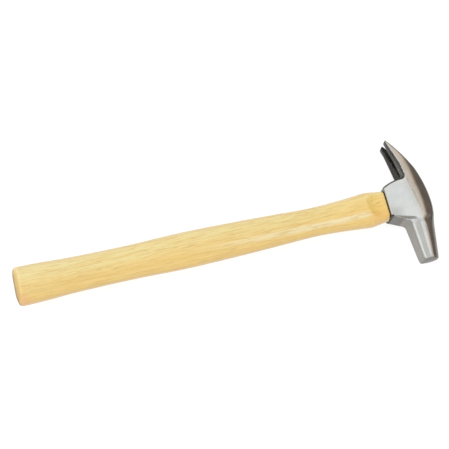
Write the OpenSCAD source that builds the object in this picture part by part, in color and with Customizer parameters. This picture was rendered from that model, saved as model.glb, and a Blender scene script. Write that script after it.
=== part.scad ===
// Small claw hammer, lying on its side: steel head, wooden handle, and the wedges that hold them together.
// Millimetres. +X runs along the handle towards the head, +Y towards the claw, +Z up.
// The shapes are drawn about the middle of the eye, and place() moves them to the part's own origin.

/* [Overall] */
// Length from the butt of the handle to the spine of the head
overall_length = 326; // [316:1:346]
// Thickness of the head across its flat cheeks, which is also the height of the hammer lying down
head_depth = 22; // [21:0.5:24]

/* [Eye boss] */
// From the middle of the eye to the spine, where the wedges are driven
spine_height = 17.8; // [17:0.2:19]
// From the middle of the eye to the mouth, where the handle goes in
mouth_depth = 16; // [15:0.5:17]
// Width of the boss at its mouth, measured along the head
mouth_width = 24.6; // [24:0.2:26]
// Half of the boss's greatest width, where the poll and the claw begin
boss_reach = 17.6; // [17:0.2:19]
// Width of the flat spine between the two bevels
spine_width = 15.6; // [15:0.2:17]
// How much the spine bevels fall for each millimetre towards the spine
spine_slope = 0.37; // [0.3:0.01:0.45]

/* [Claw] */
// From the handle's centreline to the tips of the claw
claw_reach = 51; // [46:0.2:54]
// Radius of the curved back of the claw
claw_radius = 86; // [80:1:92]
// Width across both tips of the claw
claw_tip_width = 19.6; // [18.6:0.2:20.6]
// Width of the nail slot at the tips
slot_mouth = 8.6; // [7.8:0.2:9.4]
// Width of the nail slot at its round end
slot_root = 4.4; // [3.6:0.2:5]
// From the handle's centreline to the round end of the nail slot
slot_start = 21; // [20:0.5:26]

/* [Poll] */
// From the handle's centreline to the middle of the striking face
poll_reach = 49.8; // [46:0.2:54]
// Thickness of the poll at the face, before its bevel
face_depth = 17; // [15:0.2:17.6]
// Length of the bevel around the striking face
face_bevel = 3.4; // [2:0.2:4]
// Radius of the slightly domed striking face
crown_radius = 64; // [60:1:80]

/* [Eye] */
// Thickness of the eye at the mouth
eye_mouth = 13.8; // [13.2:0.1:14.2]
// Thickness of the eye at its waist, half way through
eye_waist = 12.8; // [12:0.1:13]
// Thickness of the eye at the spine
eye_top = 13.4; // [13:0.1:14]
// Straight part of the eye's long side
eye_flat = 8; // [7:0.2:8.4]

/* [Handle] */
// Gap between the tenon and the wall of the eye
tenon_gap = 0.2; // [0.05:0.05:0.4]
// Round edge of the butt
butt_round = 3.6; // [2:0.2:5]
// Length of the side planed down to the tenon
planed_length = 15.5; // [12:0.5:18]

/* [Wedges] */
// Thickness of the wooden wedge at the spine
kerf_top = 2.8; // [2:0.1:3.4]
// Depth of the saw kerf that the wooden wedge fills
kerf_depth = 26; // [22:0.5:28]
// Thickness of a steel wedge at the spine
steel_top = 2.2; // [1.6:0.1:2.6]
// Width of a steel wedge
steel_width = 9.4; // [8:0.2:10]
// Depth of a steel wedge
steel_depth = 15; // [10:0.5:18]
// From the middle of the eye to each steel wedge
steel_offset = 5.2; // [4.6:0.1:6]

/* [Hidden] */

// A little more than any shape here, for cutting right through
far = 60;
// Thickness that a wedge has left at its driven edge
wedge_edge = 0.5;

// Ends of the whole hammer, from the middle of the eye
butt_x = spine_height - overall_length;
origin = [(butt_x + spine_height) / 2, (claw_reach - poll_reach) / 2, -head_depth / 2];

// The spine runs straight over the boss, then bends into the claw's arc and the poll's taper
claw_start = -5;
poll_start = -9.5;
arc_centre = [spine_height - claw_radius, claw_start];
tip_x = arc_centre.x + sqrt(claw_radius ^ 2 - (claw_reach - claw_start) ^ 2);
tip_under = [tip_x - 1.2, claw_reach - 1.4];
claw_root = [0.6, boss_reach + 2.6];

// Claw side of the boss, from the mouth over its shoulder to the root of the claw
skirt_start = [-mouth_depth, mouth_width / 2];
skirt_bulge = [-9, boss_reach - 1.1];
shoulder = [-1.6, boss_reach - 0.7];
root_bend = [1.8, boss_reach - 0.4];

// Face side of the boss: the rim of the mouth is cut off at its corner
lip_corner = [1.8 - mouth_depth, 0.2 - mouth_width / 2];
lip_end = [-mouth_depth, 1.1 - mouth_width / 2];

// Handle side and spine side of the poll, where the bevel of the face begins
bevel_y = face_bevel - poll_reach;
heel_x = -1.4;
toe_x = 11.8;
heel_corner = [-3, -boss_reach];
face_inset = 1.2;
// Thickness that the poll gains from the face to its middle, and where that middle is
poll_swell = 2;
poll_middle = -31;

// Flat cheek ends where a slightly leaning strip leads over to the spine bevel
cheek_edge = 3.3;
strip_slope = 0.08;
// Share of its width that the spine loses along the poll
spine_taper = 0.2;
// How far the claw's bevel cutter reaches into the head and beyond its back
bevel_in = 18;
bevel_out = 8;
// Small fall of the cheeks towards the poll and the claw
cheek_fall = 0.4;

// Stations of the grip: distance from the butt, half width, half thickness
grip_length = -mouth_depth - butt_x;
swell_thickness = 10.8;
GRIP = [
    [0, 15.6, 11.2],
    [22, 15, 10.8],
    [45, 13.9, 10.3],
    [90, 13.5, 10],
    [130, 14.3, 10.5],
    [178, 13.4, 10.1],
    [grip_length - 87, 12.4, 9.7],
    [grip_length - 58, 11.4, 9.3],
    [grip_length - 36, 12.3, 9.9],
    [grip_length - 15, 14.1, swell_thickness],
    [grip_length, 11.8, 10.2]
];
ring_step = 6;
ring_points = 36;
// Flat share of the grip's broad sides
grip_flat = 0.3;

// Curve from a to c that leaves and arrives along the lines through b
function bend(a, b, c, steps = 6) = [
    for (i = [0:steps])
        let (t = i / steps)
            (1 - t) ^ 2 * a + 2 * t * (1 - t) * b + t ^ 2 * c
];

// Half thickness of the eye at distance x from its middle
function eye_radius(x) = x < 0
    ? lookup(x, [[-mouth_depth, eye_mouth / 2], [0, eye_waist / 2]])
    : lookup(x, [[0, eye_waist / 2], [spine_height, eye_top / 2]]);

// Smooth value of column k of the grip stations at distance s from the butt
function station(s) = max([for (i = [0:len(GRIP) - 2]) GRIP[i][0] <= s ? i : 0]);
function tangent(i, k) = (GRIP[min(i + 1, len(GRIP) - 1)][k] - GRIP[max(i - 1, 0)][k])
    / (GRIP[min(i + 1, len(GRIP) - 1)][0] - GRIP[max(i - 1, 0)][0]);
function grip(s, k) =
    let (
        i = station(s),
        span = GRIP[i + 1][0] - GRIP[i][0],
        t = (s - GRIP[i][0]) / span
    )
    GRIP[i][k] * (1 + 2 * t) * (1 - t) ^ 2
    + GRIP[i + 1][k] * t ^ 2 * (3 - 2 * t)
    + span * t * (1 - t) * (tangent(i, k) * (1 - t) - tangent(i + 1, k) * t);

// Oval with straight stretches in the middle of its two long sides
function oval(half_width, half_thickness, half_flat) = [
    for (i = [0:ring_points - 1])
        let (
            angle = 360 * (i + 0.5) / ring_points,
            round_part = half_width - half_flat
        )
        [sign(cos(angle)) * half_flat + round_part * cos(angle), half_thickness * sin(angle)]
];

// One cross-section of the grip, drawn in at the butt's round edge and planed flat towards the mouth
function grip_ring(s) =
    let (
        edge = max(0, butt_round - s),
        inset = butt_round - sqrt(butt_round ^ 2 - edge ^ 2),
        planed = lookup(s, [[grip_length - planed_length, swell_thickness], [grip_length, eye_mouth / 2]]),
        width = grip(s, 1) - inset,
        section = oval(width, grip(s, 2) - inset, grip_flat * width)
    )
    [for (p = section) [butt_x + s, p.x, max(-planed, min(planed, p.y))]];

// One cross-section of the tenon
function tenon_ring(x) =
    let (r = eye_radius(x) - tenon_gap)
    [for (p = oval(r + eye_flat / 2, r, eye_flat / 2)) [x, p.x, p.y]];

// Moves a shape drawn about the eye to the part's origin, under the middle of the hammer
module place() {
    translate(-origin) children();
}

// Extrudes an outline drawn in Y and Z along X, through the whole head
module through_x() {
    rotate([90, 0, 90]) linear_extrude(2 * far, center = true) children();
}

// Extrudes an outline drawn in X and Z along Y
module through_y(length) {
    rotate([90, 0, 0]) linear_extrude(length, center = true) children();
}

// Everything on the side of a plane through p that the normal points to
module beyond(p, normal) {
    translate(p)
        rotate([0, acos(normal.z / norm(normal)), atan2(normal.y, normal.x)])
            translate([-far, -far, 0])
                cube([2 * far, 2 * far, far]);
}

// All that lies under the spine's line, seen from the side
module under_spine() {
    translate(arc_centre) circle(r = claw_radius, $fn = 180);
    translate([-far, -far]) square([far + spine_height, far + claw_start]);
}

// What stands above the spine, to trim the tenon and the wedges flush
module above_spine() {
    linear_extrude(2 * far, center = true)
        difference() {
            translate([0, -far / 2]) square(far);
            under_spine();
        }
}

// Head seen from its cheek
module cheek_outline() {
    intersection() {
        polygon(concat(
            [[heel_x + face_inset, -poll_reach], [heel_x, bevel_y], heel_corner, lip_corner, lip_end],
            bend(skirt_start, skirt_bulge, shoulder),
            bend(shoulder, root_bend, claw_root),
            [tip_under, [tip_x, claw_reach], [far, claw_reach], [far, claw_start]],
            [[spine_height, claw_start], [spine_height, poll_start], [toe_x, bevel_y]],
            [[toe_x - face_inset, -poll_reach]]
        ));
        under_spine();
    }
}

// Head seen along the handle
module plan_outline() {
    half = [
        [-poll_reach, face_depth / 2 - face_inset],
        [bevel_y, face_depth / 2],
        [poll_middle, (face_depth + poll_swell) / 2],
        [heel_corner.y, head_depth / 2 - cheek_fall],
        [lip_corner.y, head_depth / 2],
        [shoulder.y, head_depth / 2],
        [claw_root.y, head_depth / 2 - cheek_fall],
        [claw_reach, claw_tip_width / 2]
    ];
    polygon(concat(half, [for (i = [len(half) - 1:-1:0]) [half[i].x, -half[i].y]]));
}

// Bevels on one side of the head, from the cheek over to the spine
module side_bevels() {
    top = spine_width / 2;
    beyond([cheek_edge, 0, head_depth / 2], [strip_slope, 0, 1]);
    beyond([spine_height, 0, top], [spine_slope, 0, 1]);
    beyond([spine_height, poll_start, top], cross(
        [toe_x - spine_height, bevel_y - poll_start, -spine_taper * top],
        [1, 0, -spine_slope]
    ));
    translate(arc_centre)
        rotate_extrude(angle = far, $fn = 180)
            polygon([
                [claw_radius + bevel_out, top - bevel_out * spine_slope],
                [claw_radius + bevel_out, top + bevel_in * spine_slope],
                [claw_radius - bevel_in, top + bevel_in * spine_slope]
            ]);
}

// Space of the eye: an oval hole, narrowest at its waist
module eye() {
    for (half = [[-mouth_depth, 0], [0, spine_height]]) {
        r1 = eye_radius(half[0]);
        r2 = eye_radius(half[1]);
        for (side = [-1, 1])
            translate([half[0], side * eye_flat / 2, 0])
                rotate([0, 90, 0])
                    cylinder(h = half[1] - half[0], r1 = r1, r2 = r2, $fn = 96);
        through_y(eye_flat)
            polygon([[half[0], -r1], [half[1], -r2], [half[1], r2], [half[0], r1]]);
    }
}

// Space of the nail slot between the two tines: it opens fast at its round end and slowly at the tips
module nail_slot() {
    root = [slot_start + slot_root / 2, slot_root / 2];
    mouth = [claw_reach + 1, slot_mouth / 2];
    side = bend(root, [(root.x + mouth.x) / 2, mouth.y], mouth);
    through_x() {
        translate([root.x, 0]) circle(d = slot_root, $fn = 48);
        polygon(concat(side, [for (i = [len(side) - 1:-1:0]) [side[i].x, -side[i].y]]));
    }
}

// Wooden wedge before it is trimmed: it fills the saw kerf, right across the tenon
module kerf_shape() {
    through_y(far)
        polygon([
            [spine_height + 1, kerf_top / 2],
            [spine_height + 1, -kerf_top / 2],
            [spine_height - kerf_depth, -wedge_edge / 2],
            [spine_height - kerf_depth, wedge_edge / 2]
        ]);
}

// Steel wedge before it is trimmed, driven across the wooden one
module steel_shape(side) {
    translate([0, side * steel_offset, 0])
        linear_extrude(steel_width, center = true)
            polygon([
                [spine_height + 1, steel_top / 2],
                [spine_height + 1, -steel_top / 2],
                [spine_height - steel_depth, -wedge_edge / 2],
                [spine_height - steel_depth, wedge_edge / 2]
            ]);
}

// Rings of equal point count, joined in order into one closed solid
module loft(rings) {
    n = len(rings[0]);
    last = len(rings) - 1;
    sides = [
        for (i = [0:last - 1], j = [0:n - 1], half = [0, 1])
            let (
                a = i * n + j,
                b = i * n + (j + 1) % n
            )
            half == 0 ? [a, a + n, b + n] : [a, b + n, b]
    ];
    polyhedron(
        points = [for (ring = rings) each ring],
        faces = concat(
            [[for (j = [0:n - 1]) j]],
            sides,
            [[for (j = [n - 1:-1:0]) last * n + j]]
        )
    );
}

module head() {
    color("silver")
        place()
            difference() {
                intersection() {
                    linear_extrude(head_depth, center = true) cheek_outline();
                    through_x() plan_outline();
                    translate([(heel_x + toe_x) / 2, crown_radius - poll_reach, 0])
                        sphere(r = crown_radius, $fn = 180);
                }
                for (side = [0, 1])
                    mirror([0, 0, side]) side_bevels();
                eye();
                nail_slot();
            }
}

module handle() {
    butt_stations = [for (i = [0:3]) butt_round * (1 - cos(30 * i))];
    grip_stations = [for (s = [butt_round + ring_step:ring_step:grip_length - planed_length - 1]) s];
    planed_stations = [for (i = [0:4]) grip_length - planed_length * (1 - i / 4)];
    tenon_stations = [-mouth_depth, -mouth_depth / 2, 0, spine_height / 2, spine_height];
    color("burlywood")
        place()
            difference() {
                loft(concat(
                    [for (s = concat(butt_stations, grip_stations, planed_stations)) grip_ring(s)],
                    [for (x = tenon_stations) tenon_ring(x)]
                ));
                above_spine();
                kerf_shape();
                for (side = [-1, 1]) steel_shape(side);
            }
}

module kerf_wedge() {
    color("sienna")
        place()
            difference() {
                intersection() {
                    kerf_shape();
                    eye();
                }
                above_spine();
                for (side = [-1, 1]) steel_shape(side);
            }
}

module steel_wedge(side) {
    color("dimgray")
        place()
            difference() {
                steel_shape(side);
                above_spine();
            }
}

module steel_wedge_claw_side() {
    steel_wedge(1);
}

module steel_wedge_face_side() {
    steel_wedge(-1);
}

head();
handle();
kerf_wedge();
steel_wedge_claw_side();
steel_wedge_face_side();
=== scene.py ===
"""Looks of a small claw hammer lying on its side: ground steel head, lacquered wooden handle and wedges.

Shapes are drawn in millimetres about the middle of the head's eye: X runs along the handle towards the
head, Y towards the claw, Z up through the cheeks. placed() takes them to the part's frame, in metres.
"""

import math

import bpy
import numpy as np
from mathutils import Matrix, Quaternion, Vector


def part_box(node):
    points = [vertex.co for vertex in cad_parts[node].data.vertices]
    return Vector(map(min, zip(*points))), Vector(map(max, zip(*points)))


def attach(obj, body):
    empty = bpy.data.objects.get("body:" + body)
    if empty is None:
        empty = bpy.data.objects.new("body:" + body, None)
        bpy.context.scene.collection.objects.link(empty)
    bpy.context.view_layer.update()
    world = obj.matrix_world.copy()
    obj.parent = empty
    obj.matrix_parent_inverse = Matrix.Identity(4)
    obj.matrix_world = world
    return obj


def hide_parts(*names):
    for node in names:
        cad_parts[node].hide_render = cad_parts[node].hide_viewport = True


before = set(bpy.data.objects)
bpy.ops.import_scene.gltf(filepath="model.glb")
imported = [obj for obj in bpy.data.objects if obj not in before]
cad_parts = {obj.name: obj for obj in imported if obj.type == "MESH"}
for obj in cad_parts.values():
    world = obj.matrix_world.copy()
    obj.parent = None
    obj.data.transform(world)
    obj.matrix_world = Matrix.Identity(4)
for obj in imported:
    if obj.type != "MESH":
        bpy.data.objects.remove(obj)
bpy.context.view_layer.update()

MM = 0.001

# Head: the main sizes of the solid
SPINE_HEIGHT = 17.8
MOUTH_DEPTH = 16.0
CLAW_REACH = 51.0
POLL_REACH = 49.8
CLAW_RADIUS = 86.0
HALF_DEPTH = 11.0
HALF_SPINE = 7.8
SPINE_SLOPE = 0.37

# Spine: how much flatter than its arc the claw's back is, from where on, and how far the spine is crowned.
# The outline is let out a little, because rounding draws it in.
CLAW_FLATTENING = 0.6
FLAT_START = 24.0
SPINE_CROWN = 0.3
OUTLINE_EASE = 0.2

# Head seen from its cheek: corners of the outline, and where the spine bends into the claw and the poll
CLAW_START = -5.0
SPINE_BEND = (SPINE_HEIGHT, -9.5)
TOE = (11.8, -46.4)
HEEL = (-1.4, -46.4)
HEEL_CORNER = (-3.0, -17.6)
LIP_CORNER = (-14.2, -11.9)
LIP_END = (-MOUTH_DEPTH, -11.0)
SKIRT_POINTS = ((-MOUTH_DEPTH, 12.6), (-9.1, 15.5), (-1.6, 16.9))
CLAW_ROOT = (-0.1, 20.2)
ARC_X = SPINE_HEIGHT - CLAW_RADIUS
TIP = (ARC_X + math.sqrt(CLAW_RADIUS**2 - (CLAW_REACH - CLAW_START) ** 2), CLAW_REACH)
TIP_UNDER = (TIP[0] - 1.2, CLAW_REACH - 1.4)

# Head seen along the handle: half depths, the small step where the cheek ends, and the lengths along Y over
# which the boss, the poll and the skirt blend into their neighbours
FACE_HALF = 8.5
POLL_SWELL = 2.1
POLL_HOLLOW = 0.1
CHEEK_END = -15.3
CHEEK_END_SLANT = 0.283
CHEEK_STEP = 1.0
CHEEK_STEP_FADE = 0.7
CLAW_ROOT_HALF = 11.2
TIP_HALF = 9.8
POLL_TOP_HALVES = (7.5, 6.2)
BOSS_TOP_GAIN = 0.8
CLAW_TOP_GAIN = 2.05
CLAW_TOP_ENDS = (7.0, 44.0)
BOSS_BLEND = (2.0, 3.0)
POLL_BLEND = 3.0
SKIRT_BLEND = 3.0

# Flat cheek, the strip that leans from it towards the spine, and the striking face
STRIP_START = 5.2
STRIP_SLANT = 0.14
POLL_STRIP_START = 3.85
STRIP_SLOPE = 0.10
POLL_STRIP_SLOPE = 0.03
CROWN_RADIUS = 64.0
FACE_START = -47.9
FACE_INSET = 1.0

# Eye and nail slot
EYE_SHAPE = ((-MOUTH_DEPTH, 6.9), (0.0, 6.4), (SPINE_HEIGHT, 6.7))
EYE_HALF_FLAT = 4.0
SLOT_START = 23.2
SLOT_ROOT_HALF = 2.2
SLOT_MOUTH_HALF = 3.75
SLOT_BEVEL = 0.4
SLOT_BEVEL_DEPTH = 0.8
SLOT_BEVEL_END = 2.5

# Underside of the tines: a ridge along each, how far it falls to the slot and the outer edge, where it fades
RIDGE_SHARE = 0.73
OUTER_FALL = 1.0
INNER_FALL = 0.5
INNER_DEPTH = 2.2
RIDGE_ENDS = (48.6, 30.0)
RIDGE_ROOT = (16.2, 20.0)

# Widths over which edges and inner corners are rounded. The spine's rim widens along the poll up to FULL_RIM.
SOFT_EDGE = 0.7
SKIRT_EDGE = 2.2
POLL_EDGE = 1.7
CREASE = 0.5
FACE_ROUND = 1.0
CHEEK_TURN = 5.0
POLL_TURN = 1.5
CLAW_RIM = 1.2
POLL_RIM = 5.6
FULL_RIM = -25.0
SPINE_FILLET = 1.2
POLL_FILLET = 1.8
CLAW_FILLET = 1.4

# Chamfer between the handle side and the sides: widths, fall, and its own rounding on the boss and the poll.
# A negative width puts it outside the edge: it only eases the mouth's edge, and leaves the claw's alone.
POLL_CHAMFER = 3.4
MOUTH_CHAMFER = -0.5
CLAW_CHAMFER = -2.0
CHAMFER_FALL = 0.24
CHAMFER_ROUNDS = (0.5, 1.2)

# Fineness of the head's mesh, how it is drawn onto the surface, and how deep an edge is felt for wear
GRID_STEP = 0.42
GRID_MARGIN = 1.5
NET_PASSES = 4
SLOPE_REACH = 0.02
LEAST_SQUARED_SLOPE = 0.1
WEAR_DEPTH = 0.9

# Dark film left on the steel, and painted shade in place of darker reflections and shadows. A single number
# says how dark a mark is: 0 is bare steel, and 1 is black. A pair says where it starts and where it is full:
# along
# X or Y, across an edge, round a point (RADII), in how level a face lies (LEVEL, the size of its normal's Z),
# or in how far it faces the spine, the handle or the claw (FACING).
# Painted shade: faces that stand upright are darker, in place of the darker reflections they would show.
UPRIGHT_LEVEL = (0.72, 0.4)
UPRIGHT_SHADE = 0.56
# Painted shade on the poll, in place of darker reflections: its handle side, round back, flat sides and
# face's bevels.
POLL_SIDE_LEVEL = (0.965, 0.9)
POLL_SIDE_X = (2.0, 0.0)
POLL_SIDE_Y = (-16.0, -18.0)
POLL_BACK_LEVEL = (0.92, 0.84)
POLL_BACK_FACING = (0.3, 0.5)
POLL_BACK_Y = (-12.0, -16.0)
POLL_BACK_SHADE = 0.6
POLL_FLAT_LEVEL = (0.975, 0.99)
POLL_FLAT_X = (4.2, 3.4)
POLL_FLAT_Y = (-17.0, -19.0)
POLL_FLAT_SHADE = 0.27
FACE_BLUR = 0.3
FACE_DARKER = (-0.4, -1.6)
FACE_SHADE = 0.32
FACE_DARKER_SHADE = 0.42
# The slot is black: painted deep shade between the tines, over the dark film.
SLOT_ACROSS = (-0.6, -0.1)
SLOT_FILM_AND_SHADE = 1.05
UNDER_FACING = (0.02, 0.12)
UNDER_Y = (14.0, 17.0)
UNDER_FILM = 0.82
UNDER_EDGE_FILM = 0.12
RIDGE_BLUR = 1.0
TINE_SIDE_ACROSS = (-1.6, -1.0)
TINE_END_ACROSS = (-0.6, -0.2)
TINE_END_FILM = 0.88
# Painted shade on the skirt, in place of darker reflections; its turn towards the claw keeps the film.
SKIRT_X = (-4.0, -8.0)
SKIRT_SHADE = 0.70
SKIRT_TURN_FACING = (0.12, 0.3)
SKIRT_TURN_X = (4.0, 2.0)
SKIRT_TURN_Y = (8.0, 12.0)
SKIRT_TURN_END = (CLAW_ROOT[1] + 2.0, CLAW_ROOT[1])
SKIRT_TURN_FILM = 0.88
# Painted shade on the boss's faces towards the spine, in place of darker reflections.
BOSS_SPINE_FACING = (0.3, 0.6)
BOSS_SPINE_Y = (-16.0, -8.0)
BOSS_SPINE_SHADE = 0.70
# Painted shade along the cheek's foot line and the mouth's edge, and a painted shadow at the lip's corner.
FOOT_START = (-0.3, 0.2)
FOOT_END = (2.6, 1.8)
FOOT_X = (3.0, 0.0)
FOOT_SHADE = 0.5
MOUTH_ACROSS = (1.2, 0.3)
MOUTH_SHADE = 0.3
LIP_SHADOW = (LIP_END[0] + 0.4, LIP_END[1] - 0.5)
LIP_SHADOW_RADII = (1.7, 0.9)
# Darker on level faces round the lip's end.
LIP_DARKENING_RADII = (15.0, 2.0)
LIP_DARKENING_LEVEL = (0.97, 0.99)
LIP_DARKENING = 0.23
EYE_ACROSS = (0.6, 0.0)

# Dark specks along the seam where the cheek meets the leaning strip
SEAM_OFFSET = 0.8
SEAM_HALVES = (1.2, 0.2)
SEAM_START = (-15.0, -9.0)
SEAM_END = (24.0, 14.0)

# Handle: its length outside the head, half width and half thickness at distances from the butt, how fast both
# shrink towards the mouth, and the flat share of an oval's width
GRIP_LENGTH = 292.2
GRIP = (
    (0, 15.6, 11.2),
    (22, 15.0, 10.8),
    (45, 13.9, 10.3),
    (90, 13.5, 10.0),
    (130, 14.3, 10.5),
    (178, 13.4, 10.1),
    (GRIP_LENGTH - 87, 12.4, 9.7),
    (GRIP_LENGTH - 58, 11.4, 9.3),
    (GRIP_LENGTH - 36, 12.3, 9.9),
    (GRIP_LENGTH - 14, 14.1, 10.9),
)
SHOULDER_TAPER = (0.165, 0.05)
BUTT_X = -MOUTH_DEPTH - GRIP_LENGTH
GRIP_FLAT = 0.3

# Butt: length, depth and straightness of its chamfer, rounding of its narrow sides, and its slanted cut
BUTT_CHAMFER = 5.4
BUTT_FALL = 4.4
BUTT_FLATNESS = 0.7
BUTT_CORNER = 2.2
BUTT_SLANT = 0.045
BUTT_SLANT_REACH = 40.0

# Fineness of the handle's mesh, and the sizes of the rings that close its ends
BUTT_CHAMFER_STEPS = 13
GRIP_STEP = 2.0
PLANED_STEP = 0.5
PLANED_LEAD = 6.0
MOUTH_STEPS = 5
TENON_STEPS = 12
ROUND_POINTS = 41
FLAT_POINTS = 15
CAP_RINGS = 7
BUTT_CAP = (0.1, 0.95)
TENON_CAP = (0.97, 0.1)

# Planed shoulder: where it starts, the middle and the bow of that line, its height at both ends, its crease
PLANED_START = -31.6
PLANED_MIDDLE = 3.0
PLANED_BOW = 0.016
PLANED_HEIGHTS = (10.7, 8.0)
PLANED_CREASE = 0.5

# Gap and rounded edge at the mouth of the head, and the tenon inside the eye
MOUTH_GAP = 0.33
MOUTH_ROUND = 0.6
TENON_GAP = 0.2
TENON_SINK = 0.3
TENON_SIDE_END = SPINE_HEIGHT - 3.0

# Steel: turn of the grinding lines, colours, and colours of the dark film and painted shade with the
# thickness where each comes in
GRINDING_TURN = math.radians(4)
STEEL_CLOUDS = ((0.465, 0.475, 0.47), (0.525, 0.525, 0.515))
STEEL_LINES = (0.44, 0.44, 0.43)
STEEL_WORN = (0.56, 0.555, 0.54)
STEEL_SPECKS = (0.26, 0.215, 0.17)
FILM_AND_SHADE_TONES = (
    (0.0, 0.5, (0.27, 0.255, 0.23)),
    (0.5, 0.9, (0.06, 0.058, 0.054)),
    (0.9, 1.1, (0.012, 0.012, 0.011)),
)

# Wood: slant of the grain, and where its tone changes along X and across Y of the part's frame; some of these
# changes are painted sheen, highlight and shade
GRAIN_SLANT = math.radians(1.6)
WARM_ALONG = (50, 125)
# Paler towards the back across Y: painted sheen.
SHEEN_ACROSS = -0.045
# A pale band low on the swell is a painted highlight: its middle, half widths, start and end.
HIGHLIGHT_MIDDLE = -6.4
HIGHLIGHT_HALVES = (3.4, 0.6)
HIGHLIGHT_START = (-40, 55)
HIGHLIGHT_END = (116, 113)
SHOULDER_START = (113.5, 115.5)
SHOULDER_GAIN = 1.12
# Darker orange low on the shoulder: painted shade.
SHOULDER_LOW = (-3, -8)
BUTT_LOW_ALONG = (-148, -157)
BUTT_LOW_ACROSS = (-6, -13)
BUTT_RIM = (-160.2, -161.4)
END_GRAIN_LOW = (4, -9)

# Wood: colours, among them a painted highlight and painted shade
PALE_WOOD = (0.67, 0.565, 0.25)
WARM_WOOD = (0.69, 0.47, 0.14)
# Painted highlight
HIGHLIGHT_WOOD = (0.73, 0.64, 0.40)
FIBRE_WOOD = (0.59, 0.38, 0.10)
FLECK_WOOD = (0.52, 0.34, 0.10)
# Painted shade on the shoulder's lower side
SHOULDER_LOW_SHADE = (0.70, 0.42, 0.13)
BUTT_LOW_WOOD = (0.66, 0.36, 0.14)
# Painted shade on the handle's sides
SIDE_SHADE = (0.47, 0.30, 0.12)
PORE_WOOD = (0.46, 0.27, 0.075)
END_GRAIN_LAYERS = ((0.42, 0.26, 0.05), (0.49, 0.32, 0.07))
END_GRAIN_LOW_WOOD = (0.36, 0.18, 0.04)
BUTT_RIM_WOOD = (0.22, 0.14, 0.06)

# Camera of the photograph, in millimetres of the part's frame, and its lens
CAMERA_PLACE = (-18.9, -139.2, 518.6)
CAMERA_TARGET = (3.43, 13.0, 11.0)
CAMERA_ROLL = math.radians(-4.3)
FOCAL_PIXELS = 680
PHOTO_SIDE = 449
SENSOR_WIDTH = 36.0

# Floor, and studio: the tent's brightness, where it dims to the front, brightens over the butt and opens
# beyond the head, and the soft box
FLOOR_HALF = 3.0
FLOOR_GLOW = 0.80
FLOOR_TONES = (0.24, 0.26)
TENT_BRIGHTNESS = 1.45
FRONT_BRIGHTNESS = 0.9
FRONT_EDGES = (-0.4, 0.15)
BUTT_EDGES = (0.2, -0.5)
BUTT_GAIN = 1.35
TENT_COLOUR = (0.975, 1.0, 1.0)
OPENING_RIM_COLOUR = (0.72, 0.59, 0.47)
OPENING_RIM_EDGES = (0.41, 0.53)
OPENING_COLOUR = (0.15, 0.12, 0.10)
OPENING_EDGES = (0.60, 0.80)
OPENING_DIRECTION = (0.95, 0.3)
BOX_PLACE = (0.0, -1.0, 0.5)
BOX_SIZE = (1.4, 0.25)
BOX_POWER = 2.0

head_low, head_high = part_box("head")
EYE_CENTRE = np.array(
    (
        head_high.x - SPINE_HEIGHT * MM,
        head_high.y - CLAW_REACH * MM,
        (head_low.z + head_high.z) / 2,
    )
)


def placed(points):
    """Points drawn about the eye, in millimetres, as metres of the part's frame."""
    return EYE_CENTRE + np.asarray(points) * MM


def smoothstep(low, high, value):
    """0 up to low, 1 from high on, and a smooth change between them. Low may be the larger number."""
    t = np.clip((value - low) / (high - low), 0, 1)
    return t * t * (3 - 2 * t)


def smooth_max(a, b, width):
    """The larger of two fields, with the edge between them rounded over that width."""
    overlap = np.maximum(width - np.abs(a - b), 0) / width
    return np.maximum(a, b) + overlap**2 * width / 4


def smooth_min(a, b, width):
    """The smaller of two fields, with the inner corner between them filled over that width."""
    return -smooth_max(-a, -b, width)


def right_of(x, y, start, end):
    """Distance to the right of the line from start to end: the outside of an outline drawn anticlockwise."""
    dx, dy = end[0] - start[0], end[1] - start[1]
    return ((x - start[0]) * dy - (y - start[1]) * dx) / math.hypot(dx, dy)


def circle_through(a, b, c):
    """Centre and radius of the circle through three points."""
    rows = np.array(((b[0] - a[0], b[1] - a[1]), (c[0] - a[0], c[1] - a[1])))
    squares = [point[0] ** 2 + point[1] ** 2 - a[0] ** 2 - a[1] ** 2 for point in (b, c)]
    centre = np.linalg.solve(2 * rows, squares)
    return centre, math.hypot(a[0] - centre[0], a[1] - centre[1])


SKIRT_CENTRE, SKIRT_RADIUS = circle_through(*SKIRT_POINTS)


def arc_height(x, y):
    """Height above the spine: straight over the boss, then the claw's arc, flattened towards the tips."""
    t = np.clip((y - FLAT_START) / (CLAW_REACH - FLAT_START), 0, 1)
    flattening = CLAW_FLATTENING * 4 * t * (1 - t)
    return np.hypot(x - ARC_X, np.maximum(y - CLAW_START, 0)) - CLAW_RADIUS + flattening


def claw_half(y):
    """Half depth of the claw's sides."""
    t = (y - CLAW_ROOT[1]) / (CLAW_REACH - CLAW_ROOT[1])
    return CLAW_ROOT_HALF + (TIP_HALF - CLAW_ROOT_HALF) * t


def claw_under(x, y, z):
    """Distance outside the underside of the claw, with a ridge on each tine that fades at both ends."""
    beside = z - RIDGE_SHARE * claw_half(y)
    fall = smooth_max(OUTER_FALL * beside, np.minimum(-INNER_FALL * beside, INNER_DEPTH), SOFT_EDGE)
    fade = np.clip((y - RIDGE_ENDS[0]) / (RIDGE_ENDS[1] - RIDGE_ENDS[0]), 0, 1)
    fade = fade * smoothstep(*RIDGE_ROOT, y)
    return right_of(x, y, TIP_UNDER, CLAW_ROOT) + fade * fall


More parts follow.
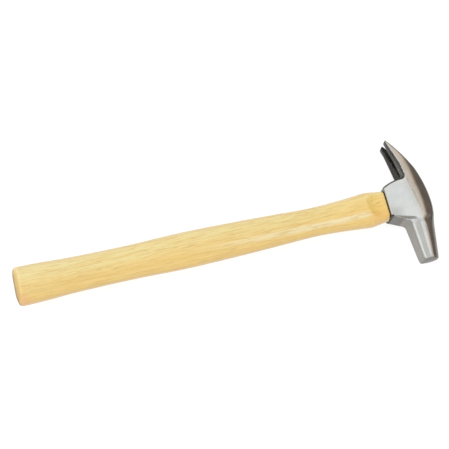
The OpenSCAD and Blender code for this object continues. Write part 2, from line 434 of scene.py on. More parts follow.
def handle_side(x, y, z):
    """Distance outside the head's lower outline: boss, poll and claw, with round inner corners."""
    mouth = smooth_max(-MOUTH_DEPTH - x, right_of(x, y, LIP_END, LIP_CORNER), SOFT_EDGE)
    skirt = np.hypot(x - SKIRT_CENTRE[0], y - SKIRT_CENTRE[1]) - SKIRT_RADIUS
    boss = smooth_max(mouth, skirt, SOFT_EDGE)
    boss = smooth_max(boss, right_of(x, y, LIP_CORNER, HEEL_CORNER), SOFT_EDGE)
    poll = np.maximum(right_of(x, y, HEEL_CORNER, HEEL), y)
    claw = np.maximum(claw_under(x, y, z), -y)
    return smooth_min(smooth_min(boss, poll, POLL_FILLET), claw, CLAW_FILLET) - OUTLINE_EASE


def half_depth(x, y):
    """Half depth of the head's sides: hollow-tapered poll, flat cheeks, tapered claw."""
    t = np.minimum((y - HEEL[1]) / (HEEL_CORNER[1] - HEEL[1]), 1)
    poll = FACE_HALF + POLL_SWELL * t - POLL_HOLLOW * 4 * t * (1 - t)
    step = CHEEK_STEP + CHEEK_STEP_FADE * np.maximum(x, 0)
    end = CHEEK_END - CHEEK_END_SLANT * x
    cheek = smoothstep(end - step, end, y)
    return smooth_min(poll + (HALF_DEPTH - poll) * cheek, claw_half(y), CREASE)


def head_sides(x, y, z):
    """Distance outside the head's sides: cheek, leaning strip and spine bevel."""
    on_boss = smoothstep(HEEL_CORNER[1] - BOSS_BLEND[0], HEEL_CORNER[1] + BOSS_BLEND[1], y)
    turn = POLL_TURN + (CHEEK_TURN - POLL_TURN) * on_boss
    start = POLL_STRIP_START + (STRIP_START - STRIP_SLANT * y - POLL_STRIP_START) * on_boss
    lean = smooth_max(x - start, 0, turn)
    slope = POLL_STRIP_SLOPE + (STRIP_SLOPE - POLL_STRIP_SLOPE) * on_boss
    side = z - half_depth(x, y) + slope * lean
    t = (y - SPINE_BEND[1]) / (TOE[1] - SPINE_BEND[1])
    poll_top = POLL_TOP_HALVES[0] + (POLL_TOP_HALVES[1] - POLL_TOP_HALVES[0]) * np.clip(t, 0, 1)
    poll_top = poll_top + BOSS_TOP_GAIN * on_boss
    claw_top = HALF_SPINE + CLAW_TOP_GAIN * smoothstep(*CLAW_TOP_ENDS, y)
    bevel = np.maximum(
        z - claw_top + SPINE_SLOPE * arc_height(x, y),
        z - poll_top + SPINE_SLOPE * right_of(x, y, TOE, SPINE_BEND),
    )
    return smooth_max(side, bevel / math.hypot(1, SPINE_SLOPE), CREASE)


def striking_end(x, y, z):
    """Distance outside the domed face and the bevels around it."""
    middle = (HEEL[0] + TOE[0]) / 2
    dome = np.sqrt((x - middle) ** 2 + (y - CROWN_RADIUS + POLL_REACH) ** 2 + z**2) - CROWN_RADIUS
    heel = right_of(x, y, (HEEL[0], FACE_START), (HEEL[0] + FACE_INSET, -POLL_REACH))
    toe = right_of(x, y, (TOE[0] - FACE_INSET, -POLL_REACH), (TOE[0], FACE_START))
    side = right_of(y, z, (FACE_START, FACE_HALF), (-POLL_REACH, FACE_HALF - FACE_INSET))
    bevels = smooth_max(smooth_max(heel, toe, SOFT_EDGE), side, SOFT_EDGE)
    near_face = HEEL[1] + FACE_HALF - y
    return smooth_max(dome, np.minimum(bevels, near_face), CREASE)


def eye_radius(x):
    """Half thickness of the eye at distance x from its waist."""
    return np.interp(x, *zip(*EYE_SHAPE))


def inside_eye(x, y, z):
    """Depth inside the eye."""
    return eye_radius(x) - np.hypot(np.maximum(np.abs(y) - EYE_HALF_FLAT, 0), z)


def nail_slot(x, y, z):
    """Depth inside the space between the tines, which widens towards the tips and the underside."""
    t = np.clip((y - SLOT_START) / (CLAW_REACH - SLOT_START), 0, 1)
    half = SLOT_ROOT_HALF + (SLOT_MOUTH_HALF - SLOT_ROOT_HALF) * (1 - (1 - t) ** 3)
    half = half + SLOT_BEVEL * np.clip(claw_under(x, y, z) + SLOT_BEVEL_DEPTH, 0, SLOT_BEVEL_END)
    return half - np.hypot(z, np.minimum(y - SLOT_START, 0))


def chamfer(y, below, sides):
    """Distance outside the flat chamfer between the handle side and the sides, which is wide on the poll."""
    to_mouth = smoothstep(HEEL_CORNER[1], LIP_CORNER[1], y)
    to_claw = smoothstep(SKIRT_POINTS[0][1], SKIRT_POINTS[2][1], y)
    width = POLL_CHAMFER + (MOUTH_CHAMFER - POLL_CHAMFER) * to_mouth
    width = width + (CLAW_CHAMFER - MOUTH_CHAMFER) * to_claw
    return (CHAMFER_FALL * (below + width) + sides) / math.hypot(1, CHAMFER_FALL)


def head_field(points):
    """About the distance outside the head's surface at points of shape (..., 3), negative inside."""
    x, y = points[..., 0], points[..., 1]
    z = np.abs(points[..., 2])
    below = handle_side(x, y, z)
    sides = head_sides(x, y, z)
    on_skirt = smoothstep(SKIRT_POINTS[0][1] - SKIRT_BLEND, SKIRT_POINTS[0][1], y)
    on_skirt = on_skirt * smoothstep(CLAW_ROOT[1], SKIRT_POINTS[2][1], y)
    on_poll = smoothstep(HEEL_CORNER[1], HEEL_CORNER[1] - POLL_BLEND, y)
    edge = SOFT_EDGE + (SKIRT_EDGE - SOFT_EDGE) * on_skirt + (POLL_EDGE - SOFT_EDGE) * on_poll
    solid = smooth_max(below, sides, edge)
    chamfer_round = CHAMFER_ROUNDS[0] + (CHAMFER_ROUNDS[1] - CHAMFER_ROUNDS[0]) * on_poll
    solid = smooth_max(solid, chamfer(y, below, sides), chamfer_round)
    crown = SPINE_CROWN * (z / HALF_SPINE) ** 2 - OUTLINE_EASE
    spine = smooth_max(arc_height(x, y), right_of(x, y, TOE, SPINE_BEND), SPINE_FILLET) + crown
    rim = CLAW_RIM + (POLL_RIM - CLAW_RIM) * smoothstep(SPINE_BEND[1], FULL_RIM, y)
    solid = smooth_max(solid, spine, rim)
    solid = smooth_max(solid, striking_end(x, y, z), FACE_ROUND)
    solid = smooth_max(solid, right_of(x, y, TIP, TIP_UNDER) - OUTLINE_EASE, SOFT_EDGE)
    solid = smooth_max(solid, inside_eye(x, y, z), SOFT_EDGE)
    return smooth_max(solid, nail_slot(x, y, z), SOFT_EDGE)


def gradient(field, points):
    """Slope of a field at points of shape (n, 3)."""
    slopes = np.empty_like(points)
    for axis in range(3):
        step = np.zeros(3)
        step[axis] = SLOPE_REACH
        slopes[:, axis] = (field(points + step) - field(points - step)) / (2 * SLOPE_REACH)
    return slopes


def surface_net(field, low, high, step):
    """Quads on the zero surface of a field: a point in each grid cell it crosses, drawn onto the surface."""
    axes = [np.arange(a, b + step, step) for a, b in zip(low, high)]
    values = field(np.stack(np.meshgrid(*axes, indexing="ij"), axis=-1))
    inside = values < 0
    total = np.zeros(values.shape + (3,))
    count = np.zeros(values.shape)
    crossings = []
    for axis in range(3):
        first = [slice(None)] * 3
        second = [slice(None)] * 3
        first[axis], second[axis] = slice(None, -1), slice(1, None)
        edges = np.argwhere(inside[tuple(first)] != inside[tuple(second)])
        ends = edges.copy()
        ends[:, axis] += 1
        a, b = values[tuple(edges.T)], values[tuple(ends.T)]
        places = edges.astype(float)
        places[:, axis] += a / (a - b)
        u, v = np.zeros(3, int), np.zeros(3, int)
        u[(axis + 1) % 3] = v[(axis + 2) % 3] = 1
        cells = [edges, edges - u, edges - u - v, edges - v]
        for cell in cells:
            np.add.at(total, tuple(cell.T), places)
            np.add.at(count, tuple(cell.T), 1)
        crossings.append((cells, a < 0))
    used = count > 0
    number = np.full(values.shape, -1)
    number[used] = np.arange(used.sum())
    points = np.asarray(low) + step * total[used] / count[used][:, None]
    faces = []
    for cells, outward in crossings:
        quads = np.stack([number[tuple(cell.T)] for cell in cells], axis=1)
        faces.append(np.where(outward[:, None], quads, quads[:, ::-1]))
    for _ in range(NET_PASSES):
        slopes = gradient(field, points)
        size = np.maximum((slopes**2).sum(1), LEAST_SQUARED_SLOPE)
        points = points - slopes * (np.clip(field(points), -step, step) / size)[:, None]
    return points, np.concatenate(faces)


def make_piece(name, points, faces, node, attributes=None):
    """A smooth-shaded mesh object that stands for a CAD node, which it hides."""
    mesh = bpy.data.meshes.new(name)
    mesh.from_pydata(placed(points).tolist(), [], [[int(i) for i in face] for face in faces])
    for label, values in (attributes or {}).items():
        layer = mesh.attributes.new(label, "FLOAT", "POINT")
        layer.data.foreach_set("value", np.asarray(values, np.float32))
    mesh.polygons.foreach_set("use_smooth", [True] * len(mesh.polygons))
    mesh.validate()
    piece = bpy.data.objects.new(name, mesh)
    bpy.context.collection.objects.link(piece)
    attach(piece, "root")
    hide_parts(node)
    return piece


def shade_on_poll(x, y, to_spine, level):
    """Painted shade on the poll, in place of darker reflections: its handle side, its round back, its flat
    sides and the bevels of its face.
    """
    side = smoothstep(*POLL_SIDE_LEVEL, level) * smoothstep(*POLL_SIDE_X, x) * smoothstep(*POLL_SIDE_Y, y)
    back = smoothstep(*POLL_BACK_LEVEL, level) * smoothstep(*POLL_BACK_FACING, to_spine)
    back = back * smoothstep(*POLL_BACK_Y, y)
    flat = smoothstep(*POLL_FLAT_LEVEL, level) * smoothstep(*POLL_FLAT_X, x) * smoothstep(*POLL_FLAT_Y, y)
    face = smoothstep(FACE_START + FACE_BLUR, FACE_START - FACE_BLUR, y)
    face = face * (FACE_SHADE + FACE_DARKER_SHADE * smoothstep(*FACE_DARKER, y - FACE_START))
    return np.maximum.reduce((UPRIGHT_SHADE * side, POLL_BACK_SHADE * back, POLL_FLAT_SHADE * flat, face))


def film_and_shade_on_claw(x, y, z, to_spine):
    """Film on the claw: in the slot, where painted deep shade makes it black, on the underside, where it is
    thickest at the edges, and on the tips.
    """
    slot = smoothstep(*SLOT_ACROSS, nail_slot(x, y, z))
    ridge = RIDGE_SHARE * TIP_HALF
    towards_slot = smoothstep(ridge + RIDGE_BLUR, ridge - RIDGE_BLUR, z)
    towards_side = smoothstep(*TINE_SIDE_ACROSS, z - claw_half(y))
    under = smoothstep(*UNDER_FACING, -to_spine) * smoothstep(*UNDER_Y, y)
    under = under * (UNDER_FILM + UNDER_EDGE_FILM * np.maximum(towards_slot, towards_side))
    tine_end = smoothstep(*TINE_END_ACROSS, right_of(x, y, TIP, TIP_UNDER) - OUTLINE_EASE)
    return np.maximum.reduce((SLOT_FILM_AND_SHADE * slot, under, TINE_END_FILM * tine_end))


def film_and_shade_on_boss(x, y, to_spine, to_claw, upright):
    """On the boss: painted shade on the skirt and on the faces towards the spine, in place of darker
    reflections, and film on the skirt's turn towards the claw.
    """
    skirt = upright * smoothstep(*SKIRT_X, x)
    turn = smoothstep(*SKIRT_TURN_FACING, to_claw) * smoothstep(*SKIRT_TURN_X, x)
    turn = turn * smoothstep(*SKIRT_TURN_Y, y) * smoothstep(*SKIRT_TURN_END, y)
    spine = upright * smoothstep(*BOSS_SPINE_FACING, to_spine) * smoothstep(*BOSS_SPINE_Y, y)
    return np.maximum.reduce((SKIRT_SHADE * skirt, SKIRT_TURN_FILM * turn, BOSS_SPINE_SHADE * spine))


def film_and_shade_round_cheek(x, y, z, level):
    """Round the cheek: painted shade along its foot line and the mouth's edge, a painted shadow at the lip's
    corner, darker level faces round the lip's end, and film in the eye.
    """
    below = CHEEK_END - CHEEK_END_SLANT * x - y
    foot = smoothstep(*FOOT_START, below) * smoothstep(*FOOT_END, below) * smoothstep(*FOOT_X, x)
    mouth = smoothstep(*MOUTH_ACROSS, x + MOUTH_DEPTH)
    # Painted shadow at the lip's corner
    lip_shadow = smoothstep(*LIP_SHADOW_RADII, np.hypot(x - LIP_SHADOW[0], y - LIP_SHADOW[1]))
    lip_darkening = smoothstep(*LIP_DARKENING_RADII, np.hypot(x - LIP_END[0], y - LIP_END[1]))
    lip_darkening = lip_darkening * smoothstep(*LIP_DARKENING_LEVEL, level)
    eye = smoothstep(*EYE_ACROSS, -inside_eye(x, y, z))
    return np.maximum.reduce((FOOT_SHADE * foot, MOUTH_SHADE * mouth, lip_shadow, LIP_DARKENING * lip_darkening, eye))


def dark_film_and_shade(points, normals):
    """How dark the steel is at points of the head: its dark film, and the painted shade."""
    x, y = points[:, 0], points[:, 1]
    z = np.abs(points[:, 2])
    to_spine, to_claw = normals[:, 0], normals[:, 1]
    level = np.abs(normals[:, 2])
    upright = smoothstep(*UPRIGHT_LEVEL, level)
    return np.maximum.reduce(
        (
            # Painted shade on upright faces, in place of darker reflections
            UPRIGHT_SHADE * upright,
            shade_on_poll(x, y, to_spine, level),
            film_and_shade_on_claw(x, y, z, to_spine),
            film_and_shade_on_boss(x, y, to_spine, to_claw, upright),
            film_and_shade_round_cheek(x, y, z, level),
        )
    )


def seam_band(x, y):
    """A soft band along the seam between the cheek and the leaning strip."""
    band = smoothstep(*SEAM_HALVES, np.abs(x - STRIP_START + STRIP_SLANT * y - SEAM_OFFSET))
    return band * smoothstep(*SEAM_START, y) * smoothstep(*SEAM_END, y)


def make_head():
    """The steel head, with how worn its edges are, its dark film and painted shade, and the seam beside its
    cheek.
    """
    low = np.array((-MOUTH_DEPTH, -POLL_REACH, -HALF_DEPTH)) - GRID_MARGIN
    high = np.array((SPINE_HEIGHT, CLAW_REACH, HALF_DEPTH)) + GRID_MARGIN
    points, faces = surface_net(head_field, low, high, GRID_STEP)
    normals = gradient(head_field, points)
    normals /= np.linalg.norm(normals, axis=1)[:, None]
    attributes = {
        "wear": head_field(points - WEAR_DEPTH * normals) / WEAR_DEPTH + 1,
        # scale holds the dark film and the painted shade
        "scale": dark_film_and_shade(points, normals),
        "seam": seam_band(points[:, 0], points[:, 1]),
    }
    return make_piece("head_ground", points, faces, "head", attributes)


def grip_sizes(s):
    """Half width and half thickness of the grip at distance s from the butt, with the taper to the mouth."""
    table = np.array(GRIP, float)
    places, sizes = table[:, 0], table[:, 1:]
    before = np.maximum(np.arange(len(GRIP)) - 1, 0)
    after = np.minimum(np.arange(len(GRIP)) + 1, len(GRIP) - 1)
    slopes = (sizes[after] - sizes[before]) / (places[after] - places[before])[:, None]
    beyond = max(s - places[-1], 0)
    s = s - beyond
    i = np.clip(np.searchsorted(places, s, side="right") - 1, 0, len(GRIP) - 2)
    span = places[i + 1] - places[i]
    t = (s - places[i]) / span
    return (
        sizes[i] * (1 + 2 * t) * (1 - t) ** 2
        + sizes[i + 1] * t**2 * (3 - 2 * t)
        + span * t * (1 - t) * (slopes[i] * (1 - t) - slopes[i + 1] * t)
        - beyond * np.array(SHOULDER_TAPER)
    )


def oval_pattern():
    """Points round an oval with two flat sides: shares of its half flat, round width and thickness."""
    turns = np.linspace(-math.pi / 2, math.pi / 2, ROUND_POINTS)
    along = np.linspace(1, -1, FLAT_POINTS + 2)[1:-1]
    ones = np.ones(ROUND_POINTS)
    flats = np.zeros(FLAT_POINTS)
    return (
        np.concatenate((ones, along, -ones, -along)),
        np.concatenate((np.cos(turns), flats, -np.cos(turns), flats)),
        np.concatenate((np.sin(turns), flats + 1, -np.sin(turns), flats - 1)),
    )


FLAT_SHARE, WIDTH_SHARE, HEIGHT_SHARE = oval_pattern()


def oval(half_width, half_thickness, half_flat):
    """Y and Z of the points of one oval."""
    return FLAT_SHARE * half_flat + WIDTH_SHARE * (half_width - half_flat), HEIGHT_SHARE * half_thickness


def planed_height(x, y, middle):
    """Height of the hollow cut that takes the broad side of the swell down to the tenon."""
    start = PLANED_START + PLANED_BOW * (y - middle) ** 2
    t = np.clip((x - start) / (-MOUTH_DEPTH - start), 0, 1)
    return PLANED_HEIGHTS[0] + (PLANED_HEIGHTS[1] - PLANED_HEIGHTS[0]) * (1 - (1 - t) ** 2)


def grip_ring(s, narrower=0.0, thinner=0.0):
    """One cross-section of the grip at distance s from the butt, drawn in at the ends."""
    half_width, half_thickness = grip_sizes(s) - (narrower, thinner)
    y, z = oval(half_width, half_thickness, GRIP_FLAT * half_width)
    x = BUTT_X + s + BUTT_SLANT * (half_width - y) * max(1 - s / BUTT_SLANT_REACH, 0)
    upper = planed_height(x, y, PLANED_MIDDLE) - thinner
    lower = planed_height(x, y, -PLANED_MIDDLE) - thinner
    z = np.where(z > 0, smooth_min(z, upper, PLANED_CREASE), -smooth_min(-z, lower, PLANED_CREASE))
    return np.stack((x, y, z), axis=1)


def tenon_ring(x, share=1.0):
    """One cross-section of the tenon, or a smaller copy of it."""
    radius = eye_radius(x) - TENON_GAP
    y, z = oval(radius + EYE_HALF_FLAT, radius, EYE_HALF_FLAT)
    return np.stack((np.full_like(y, x), y * share, z * share), axis=1)


def spine_line(y):
    """X of the spine's surface over the boss."""
    return ARC_X + np.sqrt(CLAW_RADIUS**2 - np.maximum(y - CLAW_START, 0) ** 2)


def loft(rings):
    """Points and faces of a closed skin over rings of equal length, with a last face at each end."""
    size = len(rings[0])
    faces = []
    for i in range(len(rings) - 1):
        for j in range(size):
            a, b = i * size + j, i * size + (j + 1) % size
            faces.append((a, b, b + size, a + size))
    faces.append(tuple(range(size))[::-1])
    faces.append(tuple((len(rings) - 1) * size + j for j in range(size)))
    return np.concatenate(rings), faces


def make_handle():
    """The wooden handle: chamfered butt, waisted grip, planed shoulder and the tenon inside the eye."""
    butt = []
    for share in np.linspace(0, 1, BUTT_CHAMFER_STEPS):
        rise = BUTT_FLATNESS * share + (1 - BUTT_FLATNESS) * (1 - math.cos(share * math.pi / 2))
        fall = BUTT_FLATNESS * (1 - share) + (1 - BUTT_FLATNESS) * (1 - math.sin(share * math.pi / 2))
        corner = max(BUTT_CORNER - BUTT_CHAMFER * rise, 0)
        narrower = BUTT_CORNER - math.sqrt(BUTT_CORNER**2 - corner**2)
        butt.append(grip_ring(BUTT_CHAMFER * rise, narrower, BUTT_FALL * fall))
    middle = butt[0].mean(axis=0)
    cap = [middle + share * (butt[0] - middle) for share in np.linspace(*BUTT_CAP, CAP_RINGS)]
    planed_from = PLANED_START - BUTT_X - PLANED_LEAD
    end = GRIP_LENGTH - MOUTH_GAP - MOUTH_ROUND
    grip = [grip_ring(s) for s in np.arange(BUTT_CHAMFER + GRIP_STEP, planed_from, GRIP_STEP)]
    planed = [grip_ring(s) for s in np.arange(planed_from, end, PLANED_STEP)]
    mouth = []
    for turn in np.linspace(0, math.pi / 2, MOUTH_STEPS):
        drawn_in = MOUTH_ROUND * (1 - math.cos(turn))
        mouth.append(grip_ring(end + MOUTH_ROUND * math.sin(turn), drawn_in, drawn_in))
    tenon = [tenon_ring(x) for x in np.linspace(-MOUTH_DEPTH - MOUTH_GAP, TENON_SIDE_END, TENON_STEPS)]
    top = []
    for share in np.concatenate(((1.0,), np.linspace(*TENON_CAP, CAP_RINGS))):
        ring = tenon_ring(SPINE_HEIGHT, share)
        ring[:, 0] = spine_line(ring[:, 1]) - TENON_SINK
        top.append(ring)
    points, faces = loft(cap + butt + grip + planed + mouth + tenon + top)
    return make_piece("handle_lacquered", points, faces, "handle")


class Nodes:
    """A node tree being put together: its calls add nodes and give back their outputs."""

    def __init__(self, tree):
        self.tree = tree

    def add(self, kind):
        """A new node."""
        return self.tree.nodes.new(kind)

    def feed(self, socket, value):
        """Links an output to an input, or sets the input's own value."""
        if isinstance(value, bpy.types.NodeSocket):
            self.tree.links.new(value, socket)
        else:
            socket.default_value = value

    def noise(self, vector, detail=3.0, roughness=0.5, distortion=0.0):
        """Cloudy noise about one unit across."""
        node = self.add("ShaderNodeTexNoise")
        node.inputs["Scale"].default_value = 1.0
        node.inputs["Detail"].default_value = detail
        node.inputs["Roughness"].default_value = roughness
        node.inputs["Distortion"].default_value = distortion
        self.feed(node.inputs["Vector"], vector)
        return node.outputs["Fac"]

    def ramp(self, value, low, high, to_low=0.0, to_high=1.0):
        """Maps low..high to to_low..to_high, clamped and smoothed."""
        node = self.add("ShaderNodeMapRange")
        node.interpolation_type = "SMOOTHSTEP"
        for label, number in zip(
            ("From Min", "From Max", "To Min", "To Max"), (low, high, to_low, to_high)
        ):
            node.inputs[label].default_value = number
        self.feed(node.inputs["Value"], value)
        return node.outputs["Result"]

    def blend(self, factor, a, b, kind="MIX"):
        """Mixes two colours."""
        node = self.add("ShaderNodeMix")
        node.data_type = "RGBA"
        node.blend_type = kind
        self.feed(node.inputs["Factor"], factor)
        for socket, value in zip((node.inputs[6], node.inputs[7]), (a, b)):
            self.feed(socket, value if isinstance(value, bpy.types.NodeSocket) else (*value, 1))
        return node.outputs[2]

    def math(self, operation, a, b=0.0):
        """The result of one operation on one or two numbers."""
        node = self.add("ShaderNodeMath")
        node.operation = operation
        self.feed(node.inputs[0], a)
        self.feed(node.inputs[1], b)
        return node.outputs["Value"]

    def product(self, *factors):
        """The product of several numbers."""
        result = factors[0]
        for factor in factors[1:]:
            result = self.math("MULTIPLY", result, factor)
        return result

    def split(self, vector):
        """X, Y and Z of a vector."""
        node = self.add("ShaderNodeSeparateXYZ")
        self.feed(node.inputs["Vector"], vector)
        return node.outputs["X"], node.outputs["Y"], node.outputs["Z"]


class Shader(Nodes):
    """A material with one principled shader."""

    def __init__(self, name):
        self.material = bpy.data.materials.new(name)
        self.material.use_nodes = True
        super().__init__(self.material.node_tree)
        self.principled = self.tree.nodes["Principled BSDF"]
        self.coordinates = self.add("ShaderNodeTexCoord")

    def set(self, **inputs):
        """Sets or links inputs of the principled shader, named with _ for spaces."""
        for name, value in inputs.items():
            self.feed(self.principled.inputs[name.replace("_", " ")], value)

    def stretched(self, scale, turn=0.0):
        """Object coordinates in millimetres, scaled along each axis and turned about Z."""
        node = self.add("ShaderNodeMapping")
        node.inputs["Scale"].default_value = [factor / MM for factor in scale]
        node.inputs["Rotation"].default_value = (0, 0, turn)
        self.feed(node.inputs["Vector"], self.coordinates.outputs["Object"])
        return node.outputs["Vector"]

    def attribute(self, name):
        """A value kept on the mesh's points."""
        node = self.add("ShaderNodeAttribute")
        node.attribute_name = name
        return node.outputs["Fac"]

    def bump(self, height, strength, distance):
        """Small relief on the surface, with its height in millimetres."""
        node = self.add("ShaderNodeBump")
        node.inputs["Strength"].default_value = strength
        node.inputs["Distance"].default_value = distance * MM
        self.feed(node.inputs["Height"], height)
        self.set(Normal=node.outputs["Normal"])


def ground_steel():
    """Satin ground steel: grinding lines, cloudy sheen, bright worn edges, and the dark film with painted
    shade.
    """
    steel = Shader("ground_steel")
    lines = steel.noise(steel.stretched((3.2, 0.12, 3.2), GRINDING_TURN), detail=4, roughness=0.6)
    cloud = steel.noise(steel.stretched((0.12, 0.12, 0.12)), detail=3)
    pits = steel.noise(steel.stretched((1.4, 1.4, 1.4)), detail=5, roughness=0.65)
    wear = steel.ramp(steel.attribute("wear"), 0.12, 0.5)
    mottle = steel.ramp(pits, 0.3, 0.7, 0.88, 1.12)
    # The scale attribute holds the dark film and the painted shade, in place of darker reflections and
    # shadows.
    film_and_shade = steel.product(steel.attribute("scale"), mottle)
    tone = steel.blend(steel.ramp(cloud, 0.35, 0.65), *STEEL_CLOUDS)
    tone = steel.blend(steel.ramp(lines, 0.3, 0.7, 0, 0.3), tone, STEEL_LINES)
    tone = steel.blend(wear, tone, STEEL_WORN)
    specks = steel.product(steel.attribute("seam"), steel.ramp(pits, 0.42, 0.62, 0, 0.7))
    tone = steel.blend(specks, tone, STEEL_SPECKS)
    for thin, thick, colour in FILM_AND_SHADE_TONES:
        tone = steel.blend(steel.ramp(film_and_shade, thin, thick), tone, colour)
    shine = steel.ramp(lines, 0.25, 0.75, 0.12, 0.20)
    shine = steel.math("ADD", shine, steel.ramp(cloud, 0.3, 0.7, 0.0, 0.04))
    shine = steel.math("ADD", shine, steel.product(film_and_shade, 0.25))
    steel.set(Base_Color=tone, Roughness=shine, Metallic=1.0)
    relief = steel.math("ADD", steel.product(lines, 0.25), steel.product(pits, film_and_shade))
    steel.bump(relief, 0.25, 0.05)
    return steel.material


def lacquered_wood():
    """Pale hardwood under clear lacquer: fibres, flecks, pores and end grain at the butt, with a painted
    highlight along the swell, painted sheen across it and painted shade on its sides and the shoulder.
    """
    wood = Shader("lacquered_wood")
    bands = wood.noise(wood.stretched((0.006, 0.16, 0.16), GRAIN_SLANT), detail=3, distortion=0.4)
    fibres = wood.noise(wood.stretched((0.045, 1.3, 1.3), GRAIN_SLANT), detail=4, roughness=0.6)
    flecks = wood.noise(wood.stretched((0.07, 0.9, 0.9), 2 * GRAIN_SLANT), detail=3, distortion=0.5)
    pores = wood.noise(wood.stretched((0.22, 3.0, 3.0), GRAIN_SLANT), detail=2)
    layers = wood.noise(wood.stretched((0.2, 0.3, 1.2), GRAIN_SLANT), detail=3, distortion=0.6)
    along, across, _ = wood.split(wood.stretched((1, 1, 1)))
    end_x, sideways, upward = wood.split(wood.coordinates.outputs["Normal"])
    endward = wood.math("ABSOLUTE", end_x)
    from_butt = wood.math("ADD", along, wood.product(across, BUTT_SLANT))
    shoulder = wood.ramp(along, *SHOULDER_START)
    # Painted sheen: paler towards the back across Y, added to the grain's bands.
    warmth_and_sheen = wood.math("ADD", wood.product(across, SHEEN_ACROSS), wood.product(bands, 1.1))
    warmth_and_sheen = wood.math("ADD", warmth_and_sheen, wood.ramp(along, *WARM_ALONG, 0.0, 0.36))
    tone = wood.blend(wood.ramp(warmth_and_sheen, 0.28, 1.08), PALE_WOOD, WARM_WOOD)
    # Painted highlight: a pale band along the lower part of the swell, on faces turned up.
    highlight = wood.product(
        wood.ramp(wood.math("ABSOLUTE", wood.math("SUBTRACT", across, HIGHLIGHT_MIDDLE)), *HIGHLIGHT_HALVES),
        wood.ramp(along, *HIGHLIGHT_START),
        wood.ramp(along, *HIGHLIGHT_END),
        wood.ramp(upward, 0.1, 0.4),
        wood.ramp(fibres, 0.2, 0.6, 0.5, 1.0),
    )
    tone = wood.blend(highlight, tone, HIGHLIGHT_WOOD)
    tone = wood.blend(wood.ramp(fibres, 0.42, 0.70, 0, 0.8), tone, FIBRE_WOOD)
    tone = wood.blend(wood.ramp(flecks, 0.55, 0.70, 0, 0.75), tone, FLECK_WOOD)
    tone = wood.blend(shoulder, tone, [SHOULDER_GAIN] * 3, "MULTIPLY")
    # Painted shade: darker orange on the lower side of the shoulder.
    shoulder_shade = wood.product(shoulder, wood.ramp(across, *SHOULDER_LOW, 0, 0.6))
    tone = wood.blend(shoulder_shade, tone, SHOULDER_LOW_SHADE)
    butt_low = wood.ramp(across, *BUTT_LOW_ACROSS, 0, 0.7)
    butt_low = wood.product(wood.ramp(from_butt, *BUTT_LOW_ALONG), butt_low)
    tone = wood.blend(butt_low, tone, BUTT_LOW_WOOD)
    # Painted shade: the handle's sides, and faces turned towards the back, are darker.
    side = wood.ramp(wood.math("ABSOLUTE", upward), 0.6, 0.1, 0, 0.5)
    side = wood.math("MAXIMUM", side, wood.ramp(sideways, 0.4, 0.8, 0, 0.4))
    tone = wood.blend(side, tone, SIDE_SHADE)
    tone = wood.blend(wood.ramp(pores, 0.60, 0.72, 0, 0.45), tone, PORE_WOOD)
    end_grain = wood.blend(wood.ramp(layers, 0.35, 0.65), *END_GRAIN_LAYERS)
    end_grain = wood.blend(wood.ramp(across, *END_GRAIN_LOW, 0, 0.6), end_grain, END_GRAIN_LOW_WOOD)
    tone = wood.blend(wood.ramp(endward, 0.25, 0.65, 0, 0.9), tone, end_grain)
    rim = wood.product(wood.ramp(from_butt, *BUTT_RIM), wood.ramp(endward, 0.99, 0.93, 0, 0.85))
    tone = wood.blend(rim, tone, BUTT_RIM_WOOD)
    shine = wood.ramp(fibres, 0.3, 0.7, 0.34, 0.46)
    wood.set(Base_Color=tone, Roughness=shine, Coat_Weight=0.4, Coat_Roughness=0.12)
    relief = wood.math("SUBTRACT", wood.product(fibres, 0.6), wood.ramp(pores, 0.58, 0.72))
    wood.bump(relief, 0.2, 0.06)
    return wood.material


def wedge_wood():
    """Dark end grain of the wooden wedge."""
    wood = Shader("wedge_wood")
    grain = wood.noise(wood.stretched((0.3, 0.5, 2.2)), detail=4)
    pores = wood.noise(wood.stretched((1.0, 3.4, 3.4)), detail=2)
    tone = wood.blend(wood.ramp(grain, 0.35, 0.65), (0.30, 0.165, 0.07), (0.42, 0.25, 0.115))
    tone = wood.blend(wood.ramp(pores, 0.58, 0.7, 0, 0.7), tone, (0.12, 0.06, 0.025))
    wood.set(Base_Color=tone, Roughness=wood.ramp(grain, 0.3, 0.7, 0.5, 0.7))
    wood.bump(pores, 0.3, 0.08)
    return wood.material


def wedge_steel():
    """Dark rolled steel with a beaten end."""
    steel = Shader("wedge_steel")
    dents = steel.noise(steel.stretched((0.9, 0.9, 0.9)), detail=3)
    lines = steel.noise(steel.stretched((0.3, 4.0, 4.0)), detail=3)
    tone = steel.blend(steel.ramp(dents, 0.35, 0.65), (0.22, 0.215, 0.205), (0.40, 0.395, 0.38))
    steel.set(Base_Color=tone, Metallic=1.0, Roughness=steel.ramp(lines, 0.3, 0.7, 0.3, 0.5))
    steel.bump(dents, 0.35, 0.15)
    return steel.material


def dress(thing, material):
    """Gives an object one material."""
    thing.data.materials.clear()
    thing.data.materials.append(material)


def make_floor():
    """A plain pale floor that glows a little, as a light table does, so that it stays white in shadow."""
    signs = ((-1, -1), (1, -1), (1, 1), (-1, 1))
    corners = [(side * FLOOR_HALF, end * FLOOR_HALF, 0) for side, end in signs]
    mesh = bpy.data.meshes.new("floor")
    mesh.from_pydata(corners, [], [(0, 1, 2, 3)])
    floor = bpy.data.objects.new("floor", mesh)
    bpy.context.collection.objects.link(floor)
    pale = Shader("pale_floor")
    cloud = pale.noise(pale.stretched((0.02, 0.02, 0.02)), detail=3)
    pale.set(Base_Color=pale.blend(cloud, [FLOOR_TONES[0]] * 3, [FLOOR_TONES[1]] * 3), Roughness=0.7)
    pale.set(Emission_Color=(1, 1, 1, 1), Emission_Strength=FLOOR_GLOW)
    dress(floor, pale.material)


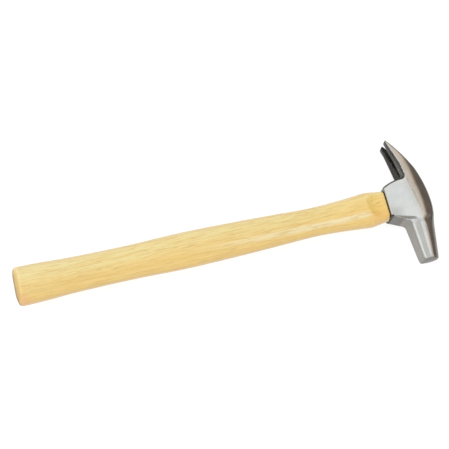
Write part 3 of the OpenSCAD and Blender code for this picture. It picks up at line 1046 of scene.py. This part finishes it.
def make_light():
    """A bright tent, dimmer towards the front and open beyond the head, and a long soft box in front."""
    world = bpy.data.worlds.new("studio")
    world.use_nodes = True
    bpy.context.scene.world = world
    sky = Nodes(world.node_tree)
    direction = sky.add("ShaderNodeTexCoord").outputs["Generated"]
    x, y, _ = sky.split(direction)
    along, across = OPENING_DIRECTION
    towards_head = sky.math("ADD", sky.product(x, along), sky.product(y, across))
    colour = sky.blend(sky.ramp(towards_head, *OPENING_RIM_EDGES), TENT_COLOUR, OPENING_RIM_COLOUR)
    colour = sky.blend(sky.ramp(towards_head, *OPENING_EDGES), colour, OPENING_COLOUR)
    bright = sky.ramp(y, *FRONT_EDGES, FRONT_BRIGHTNESS, TENT_BRIGHTNESS)
    bright = sky.product(bright, sky.ramp(x, *BUTT_EDGES, 1.0, BUTT_GAIN))
    background = world.node_tree.nodes["Background"]
    sky.feed(background.inputs["Color"], colour)
    sky.feed(background.inputs["Strength"], bright)
    light = bpy.data.lights.new("front_box", "AREA")
    light.shape = "RECTANGLE"
    light.size, light.size_y = BOX_SIZE
    light.energy = BOX_POWER
    lamp = bpy.data.objects.new("front_box", light)
    lamp.location = BOX_PLACE
    lamp.rotation_euler = (-Vector(BOX_PLACE)).to_track_quat("-Z", "Y").to_euler()
    bpy.context.collection.objects.link(lamp)


def make_camera():
    """The camera where the photograph's stood."""
    camera = bpy.data.cameras.new("camera")
    camera.sensor_width = SENSOR_WIDTH
    camera.lens = SENSOR_WIDTH * FOCAL_PIXELS / PHOTO_SIDE
    view = bpy.data.objects.new("camera", camera)
    view.location = Vector(CAMERA_PLACE) * MM
    towards = (Vector(CAMERA_TARGET) - Vector(CAMERA_PLACE)).to_track_quat("-Z", "Y")
    view.rotation_mode = "QUATERNION"
    view.rotation_quaternion = towards @ Quaternion((0, 0, 1), CAMERA_ROLL)
    bpy.context.collection.objects.link(view)
    bpy.context.scene.camera = view


dress(make_head(), ground_steel())
dress(make_handle(), lacquered_wood())
dress(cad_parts["kerf_wedge"], wedge_wood())
for side in ("claw", "face"):
    dress(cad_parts[f"steel_wedge_{side}_side"], wedge_steel())
make_floor()
make_light()
make_camera()
bpy.context.scene.view_settings.view_transform = "Standard"
